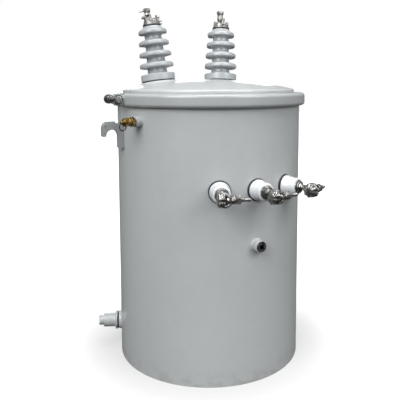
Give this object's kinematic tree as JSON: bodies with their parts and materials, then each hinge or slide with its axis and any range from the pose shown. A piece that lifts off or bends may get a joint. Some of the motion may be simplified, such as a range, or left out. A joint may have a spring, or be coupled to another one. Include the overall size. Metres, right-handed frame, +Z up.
{
  "type": "pole mounted distribution transformer",
  "caption": "Round steel transformer tank with domed clamped cover, ribbed high voltage bushings on top and white low voltage bushings with clamps on its side.",
  "frame": {"origin": "on the tank's axis at the foot of its skirt, where it meets a level floor", "axes": "+Z up along the tank's axis; -Y towards the middle low voltage bushing; +Y towards the pole"},
  "size_m": [0.5632, 0.5951, 0.8851],
  "materials": {
    "grey_paint": "semi gloss",
    "grey_porcelain": "glazed",
    "white_porcelain": "glazed",
    "tinned_bronze": "cast and tinned",
    "brass": "machined",
    "black_rubber": "matte",
    "dark_steel": "blackened",
    "oil_and_core": "hidden"
  },
  "bodies": {
    "root": {"tank_wall": "grey_paint", "tank_bottom": "grey_paint", "core_and_oil": "oil_and_core", "tank_cover": "grey_paint", "cover_band": "grey_paint", "band_lugs": "grey_paint", "band_bolt": "tinned_bronze", "hv_gasket_left": "black_rubber", "hv_gasket_right": "black_rubber", "hv_bushing_left": "grey_porcelain", "hv_bushing_right": "grey_porcelain", "hv_cap_left": "tinned_bronze", "hv_cap_right": "tinned_bronze", "hv_clamp_left": "tinned_bronze", "hv_clamp_right": "tinned_bronze", "lv_gasket_left": "black_rubber", "lv_gasket_middle": "black_rubber", "lv_gasket_right": "black_rubber", "lv_bushing_left": "white_porcelain", "lv_bushing_middle": "white_porcelain", "lv_bushing_right": "white_porcelain", "lv_stud_left": "tinned_bronze", "lv_stud_middle": "tinned_bronze", "lv_stud_right": "tinned_bronze", "lv_jaw_left": "tinned_bronze", "lv_jaw_middle": "tinned_bronze", "lv_jaw_right": "tinned_bronze", "lv_body_left": "tinned_bronze", "lv_body_middle": "tinned_bronze", "lv_body_right": "tinned_bronze", "lv_bolt_left": "tinned_bronze", "lv_bolt_middle": "tinned_bronze", "lv_bolt_right": "tinned_bronze", "ground_pad": "grey_paint", "ground_plug": "dark_steel", "relief_coupling": "grey_paint", "relief_valve": "brass", "relief_ring": "dark_steel", "lifting_lug_left": "grey_paint", "lifting_lug_right": "grey_paint", "support_lug_upper": "grey_paint", "support_lug_lower": "grey_paint", "drain_boss": "grey_paint", "drain_gasket": "black_rubber", "drain_fitting": "grey_paint", "drain_plug": "grey_paint"}
  },
  "joints": []
}
